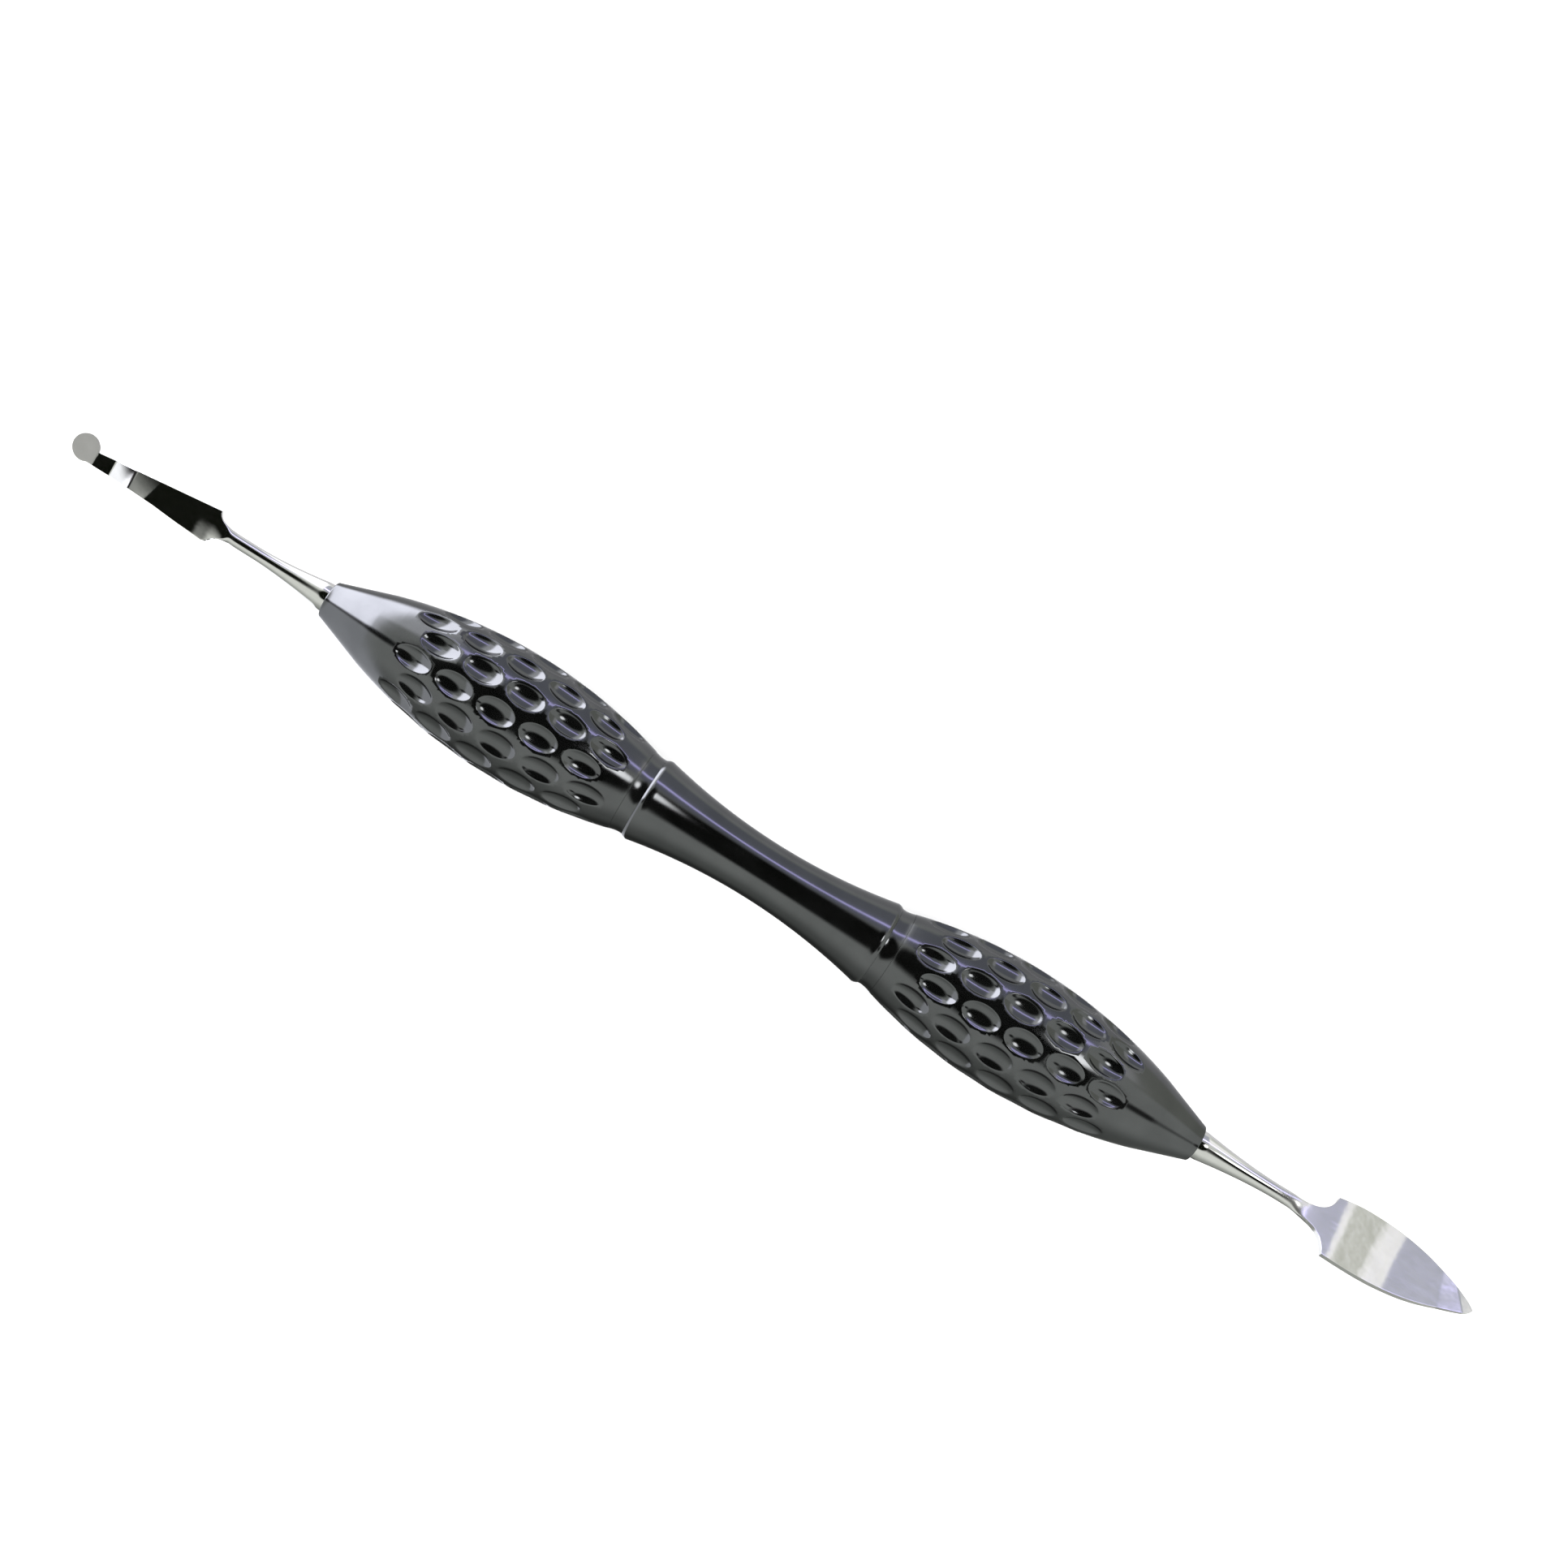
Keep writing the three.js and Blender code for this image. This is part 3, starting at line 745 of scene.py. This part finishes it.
def spoon_ends(x):
    """The two side edges of the blade, or of the disc and what runs into it."""
    low = piecewise(SPOON_LOW_EDGE, x)
    high = piecewise(SPOON_HIGH_EDGE, x)
    into_disc = x - (DISC_CENTRE.x - DISC_RADIUS)
    if into_disc > 0:
        reach = math.sqrt(DISC_RADIUS**2 - (x - DISC_CENTRE.x) ** 2)
        disc_low = DISC_CENTRE.y - reach
        disc_high = DISC_CENTRE.y + reach
        low = min(disc_low, low) if into_disc < DISC_LOW_JOIN else disc_low
        high = max(disc_high, high) if into_disc < DISC_HIGH_JOIN else disc_high
    return Vector((x, low)), Vector((x, high))


def spoon_blade_sections():
    """From the spoon's shoulders to the end of its disc."""
    places = spread(BLADE_START, DISC_CREASE[0], SPOON_BANDS) + [DISC_CREASE[1]]
    for turn in spread(0, math.pi, DISC_BANDS)[1:-1]:
        places.append(DISC_CENTRE.x - DISC_RADIUS * math.cos(turn))
    places.append(DISC_CENTRE.x + DISC_RADIUS - DISC_LAST)
    sections = []
    for x in places:
        thinned = blend(1, END_THINNESS, smooth(x, *SPOON_END_THINS))
        sections.append(Section(
            *spoon_ends(x), SPOON_SHANK, SPOON_HALF_THICKNESS * thinned,
            BLADE_POWER, roll_at(SPOON_FOLDS, x)))
    return sections


def spoon_piece():
    sheet = bent_sheet(SPOON_FOLDS, SPOON_SOFTNESS)

    def hollowed(x, y):
        """The sheet, lower towards the bellied shoulder."""
        away = max(0, HOLLOW_TOP - y)
        fade = smooth(-x, -HOLLOW_FADES[1], -HOLLOW_FADES[0])
        sink = HOLLOW_DEPTH * (away**2 / (HOLLOW_TOP + away)) * smooth(x, *HOLLOW_RISES) * fade
        return sheet(x, y) - sink

    return loft_tip(-1, [
        *shank_sections(SPOON_SHANK, SPOON_TAPER, SPOON_NECK),
        *spoon_shoulder_sections(),
        *spoon_blade_sections(),
    ], hollowed)


# ---------------------------------------------------------------- materials

NOISE_RANGE = (0.3, 0.7)  # nearly all of a noise lies between these values
SATIN_AND_PAINTED_SHADE_FADE = (-84.6, -84.35)  # across the edge of the spoon end's disc, from its satin side, which also carries painted shade
NECK_DULLS = (63, 66.5)  # the leaf's shank turns satin between these places
NECK_SATIN = 0.24
BLADE_CLEARS = (68.5, 70.5)  # and its blade loses some of that between these
BLADE_CLEARING = 0.11
LEAF_WAVES_RISE = (64, 72)
THREAD_PER_MM = 1.4
WAVES_PER_UNIT = 20 / math.tau  # how many waves the wave texture draws per unit
MIX_INPUTS = (0, 6, 7)  # the mix node's sockets for its factor and its two colours
MIX_RESULT = 2


class Nodes:
    """Adds shader nodes to a tree. A value is a number, a colour or another node's output."""

    def __init__(self, tree):
        self.tree = tree
        tree.nodes.clear()

    def feed(self, socket, value):
        if isinstance(value, bpy.types.NodeSocket):
            self.tree.links.new(value, socket)
        elif isinstance(value, tuple):
            socket.default_value = (*value, 1)
        else:
            socket.default_value = value

    def split(self, vector):
        node = self.tree.nodes.new("ShaderNodeSeparateXYZ")
        self.feed(node.inputs[0], vector)
        return node.outputs

    def math(self, operation, *values):
        node = self.tree.nodes.new("ShaderNodeMath")
        node.operation = operation
        for socket, value in zip(node.inputs, values):
            self.feed(socket, value)
        return node.outputs[0]

    def spread(self, value, from_low, from_high, to_low, to_high, curve="LINEAR"):
        """Carries a value over from one range to another."""
        node = self.tree.nodes.new("ShaderNodeMapRange")
        node.interpolation_type = curve
        values = (value, from_low, from_high, to_low, to_high)
        for name, number in zip(("Value", "From Min", "From Max", "To Min", "To Max"), values):
            self.feed(node.inputs[name], number)
        return node.outputs["Result"]

    def mix(self, share, first, second):
        """A colour between two others."""
        node = self.tree.nodes.new("ShaderNodeMix")
        node.data_type = "RGBA"
        for index, value in zip(MIX_INPUTS, (share, first, second)):
            self.feed(node.inputs[index], value)
        return node.outputs[MIX_RESULT]


class Finish(Nodes):
    """A principled material with textures laid out in millimetres of the object's frame."""

    def __init__(self, name):
        self.material = bpy.data.materials.new(name)
        self.material.use_nodes = True
        super().__init__(self.material.node_tree)
        output = self.tree.nodes.new("ShaderNodeOutputMaterial")
        self.shader = self.tree.nodes.new("ShaderNodeBsdfPrincipled")
        self.feed(output.inputs["Surface"], self.shader.outputs["BSDF"])
        self.place = self.tree.nodes.new("ShaderNodeTexCoord").outputs["Object"]
        self.normal = None

    def set(self, name, value):
        self.feed(self.shader.inputs[name], value)

    def noise(self, per_mm, detail=2):
        """A 0 to 1 noise with so many features per millimetre along X, Y and Z."""
        mapping = self.tree.nodes.new("ShaderNodeMapping")
        mapping.inputs["Scale"].default_value = [value / MM for value in per_mm]
        self.feed(mapping.inputs["Vector"], self.place)
        texture = self.tree.nodes.new("ShaderNodeTexNoise")
        self.feed(texture.inputs["Scale"], 1)
        self.feed(texture.inputs["Detail"], detail)
        self.feed(texture.inputs["Vector"], mapping.outputs["Vector"])
        return texture.outputs["Fac"]

    def cloud(self, per_mm, detail=2):
        """A noise that is stretched to use all of the range from 0 to 1."""
        return self.spread(self.noise(per_mm, detail), *NOISE_RANGE, 0, 1)

    def along(self, start, end):
        """0 to 1 from one place along the tool to another."""
        x = self.split(self.place)[0]
        return self.spread(x, (MIDDLE_X + start) * MM, (MIDDLE_X + end) * MM, 0, 1)

    def relief(self, height, depth):
        """Adds bumps of this depth to the surface."""
        node = self.tree.nodes.new("ShaderNodeBump")
        self.feed(node.inputs["Distance"], depth * MM)
        self.feed(node.inputs["Height"], height)
        if self.normal:
            self.feed(node.inputs["Normal"], self.normal)
        self.normal = node.outputs["Normal"]
        self.set("Normal", self.normal)


def dark_metal():
    """Glossy gunmetal coating: cloudy in tone, faintly smudged, over very fine turning marks."""
    dark, light = (0.108, 0.111, 0.112), (0.126, 0.129, 0.13)
    finish = Finish("dark_metal")
    finish.set("Metallic", 1)
    finish.set("Specular Tint", (0.75, 0.75, 0.75))
    cloud = finish.cloud(per_mm=(0.3, 0.3, 0.3), detail=3)
    finish.set("Base Color", finish.mix(cloud, dark, light))
    smudge = finish.noise(per_mm=(0.22, 0.5, 0.5), detail=4)
    finish.set("Roughness", finish.spread(
        smudge, from_low=0.35, from_high=0.68, to_low=0.1, to_high=0.15))
    turning_marks = finish.noise(per_mm=(16, 0.2, 0.2), detail=1)
    finish.relief(turning_marks, depth=0.0003)
    finish.relief(finish.noise(per_mm=(1.3, 1.3, 1.3)), depth=0.0008)
    return finish.material


def tip_steel():
    """Hand-polished steel: slightly wavy, with hair scratches along the blades. The neck of the leaf
    is satin and its blade is less so; the spoon end's disc is satin, and its darker colour there is
    painted shade."""
    polished_dark, polished_light = (0.655, 0.65, 0.625), (0.7, 0.695, 0.67)
    # Painted shade: the spoon end's disc gets these darker steel colours.
    painted_shade_disc_dark, painted_shade_disc_light = (0.48, 0.475, 0.45), (0.52, 0.515, 0.49)
    finish = Finish("tip_steel")
    finish.set("Metallic", 1)
    off_disc = finish.along(*SATIN_AND_PAINTED_SHADE_FADE)
    cloud = finish.cloud(per_mm=(0.7, 0.7, 0.7), detail=3)
    polished = finish.mix(cloud, polished_dark, polished_light)
    # The disc's painted shade, mixed from the darker colours.
    painted_shade_disc = finish.mix(cloud, painted_shade_disc_dark, painted_shade_disc_light)
    finish.set("Base Color", finish.mix(off_disc, painted_shade_disc, polished))

    satin_neck = finish.math("MULTIPLY", finish.along(*NECK_DULLS), NECK_SATIN)
    clearer_blade = finish.math("MULTIPLY", finish.along(*BLADE_CLEARS), BLADE_CLEARING)
    leaf_satin = finish.math("SUBTRACT", satin_neck, clearer_blade)
    disc_satin = finish.spread(off_disc, 0, 1, to_low=0.46, to_high=0.03)
    haze = finish.noise(per_mm=(0.9, 2.2, 2.2), detail=3)
    haze = finish.spread(haze, *NOISE_RANGE, to_low=0, to_high=0.03)
    satin = finish.math("ADD", leaf_satin, disc_satin)
    finish.set("Roughness", finish.math("ADD", satin, haze))

    finish.relief(finish.noise(per_mm=(0.5, 0.7, 0.7)), depth=0.006)
    waves = finish.noise(per_mm=(0.4, 0.5, 0.5))
    leaf_waves = finish.math("MULTIPLY", waves, finish.along(*LEAF_WAVES_RISE))
    finish.relief(leaf_waves, depth=0.05)
    scratches = finish.noise(per_mm=(0.6, 22, 22))
    finish.relief(scratches, depth=0.0002)
    return finish.material


def stud_steel():
    """Turned steel with a fine thread."""
    dark, light = (0.42, 0.43, 0.44), (0.6, 0.61, 0.62)
    finish = Finish("stud_steel")
    finish.set("Metallic", 1)
    stain = finish.noise(per_mm=(0.5, 0.5, 0.5), detail=4)
    finish.set("Base Color", finish.mix(stain, dark, light))
    finish.set("Roughness", finish.spread(stain, *NOISE_RANGE, to_low=0.28, to_high=0.42))
    thread = finish.tree.nodes.new("ShaderNodeTexWave")
    finish.feed(thread.inputs["Scale"], THREAD_PER_MM / MM / WAVES_PER_UNIT)
    finish.feed(thread.inputs["Vector"], finish.place)
    finish.relief(thread.outputs["Fac"], depth=0.12)
    return finish.material


def bond_resin():
    """Cured amber adhesive, cloudy and lightly pitted."""
    dark, light = (0.5, 0.33, 0.13), (0.72, 0.55, 0.3)
    finish = Finish("bond_resin")
    cloud = finish.noise(per_mm=(0.6, 0.9, 0.9), detail=4)
    finish.set("Base Color", finish.mix(cloud, dark, light))
    finish.set("Roughness", finish.spread(cloud, *NOISE_RANGE, to_low=0.2, to_high=0.38))
    pits = finish.noise(per_mm=(3, 3, 3), detail=3)
    finish.relief(pits, depth=0.02)
    return finish.material


def pale_floor():
    """Smooth white card with a trace of tooth."""
    dark, light = (0.89, 0.89, 0.89), (0.91, 0.91, 0.91)
    finish = Finish("pale_floor")
    finish.set("Specular IOR Level", 0.2)
    fibre = finish.noise(per_mm=(0.8, 0.8, 0.8), detail=4)
    finish.set("Base Color", finish.mix(fibre, dark, light))
    finish.set("Roughness", finish.spread(fibre, 0, 1, to_low=0.85, to_high=0.95))
    finish.relief(fibre, depth=0.002)
    return finish.material


# ---------------------------------------------------------------- camera and floor

CAMERA_TURN = math.radians(32.13)  # the tool slants across the picture by this much
CAMERA_HEIGHT = 234.3  # above the tool's axis
CAMERA_FOOT = Vector((-3.03, 9.19))  # from the middle of the handle
LENS = 50
SENSOR = 36
NEAREST_SEEN = 0.01  # metres
FLOOR_HALF_WIDTH = 1.5  # metres
FLOOR_SQUARES = 8  # along each side


def add_camera():
    data = bpy.data.cameras.new("camera")
    data.lens = LENS
    data.sensor_width = SENSOR
    data.clip_start = NEAREST_SEEN
    camera = bpy.data.objects.new("camera", data)
    bpy.context.scene.collection.objects.link(camera)
    camera.location = Vector((
        MIDDLE_X + CAMERA_FOOT.x, AXIS.y + CAMERA_FOOT.y, AXIS.z + CAMERA_HEIGHT)) * MM
    camera.rotation_euler = (0, 0, CAMERA_TURN)
    bpy.context.scene.camera = camera


def add_floor():
    """The floor takes the tool's shadow, and the metal doesn't mirror it."""
    bm = bmesh.new()
    bmesh.ops.create_grid(
        bm, x_segments=FLOOR_SQUARES, y_segments=FLOOR_SQUARES, size=FLOOR_HALF_WIDTH)
    mesh = bpy.data.meshes.new("floor")
    bm.to_mesh(mesh)
    bm.free()
    mesh.materials.append(pale_floor())
    floor = bpy.data.objects.new("floor", mesh)
    floor.visible_glossy = False
    bpy.context.scene.collection.objects.link(floor)


# ---------------------------------------------------------------- light

# What the metal mirrors is laid out on a flat map of the sky. A place on the map is the angle
# from straight up, in degrees, split into its X and Y parts. Later patches cover earlier ones.
Patch = namedtuple("Patch", "colour x_range y_range soft")
Oval = namedtuple("Oval", "colour centre half_axes inner outer")

WALLS = (0.86, 0.89, 0.86)
PATCHES = (
    Patch((0.4, 0.42, 0.4), (-60, None), (None, -76), 26),  # dim wall towards -Y
    Patch((0.1, 0.105, 0.1), (-60, None), (None, -118), 20),  # darker still at its foot
    Patch((0.63, 0.65, 0.59), (42, None), (38, 106), 4),  # grey wall beyond the leaf, towards +Y
    Patch((0.95, 0.95, 0.98), (None, None), (106, None), 11),  # pale tabletop towards +Y
    Patch((1.4, 1.43, 1.52), (None, -47), (None, -4), 4),  # bright wall beyond the spoon, towards -Y
    Patch((0.53, 0.55, 0.64), (-36, 32), (38, 98), 6),  # blue-grey screen
    Patch((0.58, 0.6, 0.76), (-36, 32), (45, 68), 5),  # bluer upper part of the screen
    Patch((1.25, 1.25, 1.27), (31, 42), (44, 82), 2.5),  # bright gap between screen and wall
    Patch((1.9, 1.92, 2.02), (None, -30), (38, 104), 6),  # brighter wall beside the screen
    Patch((6.2, 6.2, 6.9), (None, -47), (-5, None), 4),  # window beyond the spoon
    Patch((3.6, 3.3, 6), (-32, 32), (53, 57), 3.5),  # violet strip light on the screen
)
OVALS = (
    Oval((0.004, 0.005, 0.003), (0, 6), (36, 35), 0.8, 1.16),  # black hood over the tool
    *(Oval((0.02, 0.02, 0.02), (side * 44, -7), (12, 9), 0.4, 1.15) for side in (-1, 1)),  # wings
    Oval((6, 6, 6.1), (23.5, 20), (6, 8), 0.5, 1.4),  # lamp in the hood
)
GROUND = (0.8, 0.8, 0.83)
GROUND_STARTS = (106, 122)  # degrees from straight up
GROUND_FADES = (-60, 0)  # it is left out towards -Y
ROOM_STRENGTH = 2
LEAST_LEVEL = 1e-4  # keeps the map whole straight above


class Sky(Nodes):
    """Builds colours on the map of the sky."""

    def __init__(self, tree):
        super().__init__(tree)
        direction = tree.nodes.new("ShaderNodeTexCoord").outputs["Generated"]
        x, y, z = self.split(direction)
        self.off = self.math("MULTIPLY", self.math("ARCCOSINE", z), math.degrees(1))
        level = self.math("SQRT", self.math("ADD", self.math("MULTIPLY", x, x),
                                            self.math("MULTIPLY", y, y)))
        share = self.math("DIVIDE", self.off, self.math("MAXIMUM", level, LEAST_LEVEL))
        self.x = self.math("MULTIPLY", x, share)
        self.y = self.math("MULTIPLY", y, share)

    def step(self, value, start, end):
        """0 before start, 1 past end, smooth between them; start may be the larger one."""
        low, high = sorted((start, end))
        return self.spread(value, low, high, float(start > end), float(start < end), "SMOOTHSTEP")

    def inside_patch(self, patch):
        """1 inside a rectangle that fades to 0 over its soft edges; None is no edge."""
        result = None
        for value, (low, high) in ((self.x, patch.x_range), (self.y, patch.y_range)):
            for edge, sign in ((low, 1), (high, -1)):
                if edge is None:
                    continue
                part = self.step(value, edge - sign * patch.soft, edge + sign * patch.soft)
                result = part if result is None else self.math("MULTIPLY", result, part)
        return result

    def inside_oval(self, oval):
        """1 inside, fading to 0 between two sizes of the oval."""
        parts = []
        for value, middle, half in zip((self.x, self.y), oval.centre, oval.half_axes):
            away = self.math("DIVIDE", self.math("SUBTRACT", value, middle), half)
            parts.append(self.math("MULTIPLY", away, away))
        distance = self.math("SQRT", self.math("ADD", *parts))
        return self.step(distance, oval.outer, oval.inner)

    def inside_ground(self):
        return self.math("MULTIPLY", self.step(self.off, *GROUND_STARTS),
                         self.step(self.y, *GROUND_FADES))

    def colour(self):
        colour = WALLS
        for patch in PATCHES:
            colour = self.mix(self.inside_patch(patch), colour, patch.colour)
        for oval in OVALS:
            colour = self.mix(self.inside_oval(oval), colour, oval.colour)
        return self.mix(self.inside_ground(), colour, GROUND)


def add_light():
    """Plain white light from all round, and the sky's map for whatever is mirrored."""
    world = bpy.data.worlds.new("studio")
    bpy.context.scene.world = world
    world.use_nodes = True
    sky = Sky(world.node_tree)
    nodes = sky.tree.nodes
    mirrored = nodes.new("ShaderNodeBackground")
    sky.feed(mirrored.inputs["Color"], sky.colour())
    plain = nodes.new("ShaderNodeBackground")
    sky.feed(plain.inputs["Color"], (1, 1, 1))
    sky.feed(plain.inputs["Strength"], ROOM_STRENGTH)
    choice = nodes.new("ShaderNodeMixShader")
    is_mirrored = nodes.new("ShaderNodeLightPath").outputs["Is Glossy Ray"]
    for socket, value in zip(choice.inputs, (is_mirrored, plain.outputs[0], mirrored.outputs[0])):
        sky.feed(socket, value)
    output = nodes.new("ShaderNodeOutputWorld")
    sky.feed(output.inputs["Surface"], choice.outputs[0])


# ---------------------------------------------------------------- build

METAL = dark_metal()
STEEL = tip_steel()

finish_piece("waist", waist_piece(), METAL, ["waist_sleeve"])
for end, side in (("leaf", 1), ("spoon", -1)):
    finish_piece(f"{end}_grip", grip_piece(side), METAL, [f"{end}_end_grip"])
    finish_piece(f"{end}_ring", ring_piece(side), METAL, [f"{end}_end_neck_ring"])
finish_piece("leaf_tip_blade", leaf_piece(), STEEL, ["leaf_tip"])
finish_piece("spoon_tip_blade", spoon_piece(), STEEL, ["spoon_tip"])
hidden_finishes = {"joint_stud": stud_steel(), "tang_bond": bond_resin()}
for end in ("leaf", "spoon"):
    for part, material in hidden_finishes.items():
        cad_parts[f"{end}_end_{part}"].material_slots[0].material = material

add_camera()
add_floor()
add_light()
bpy.context.scene.view_settings.view_transform = "Standard"
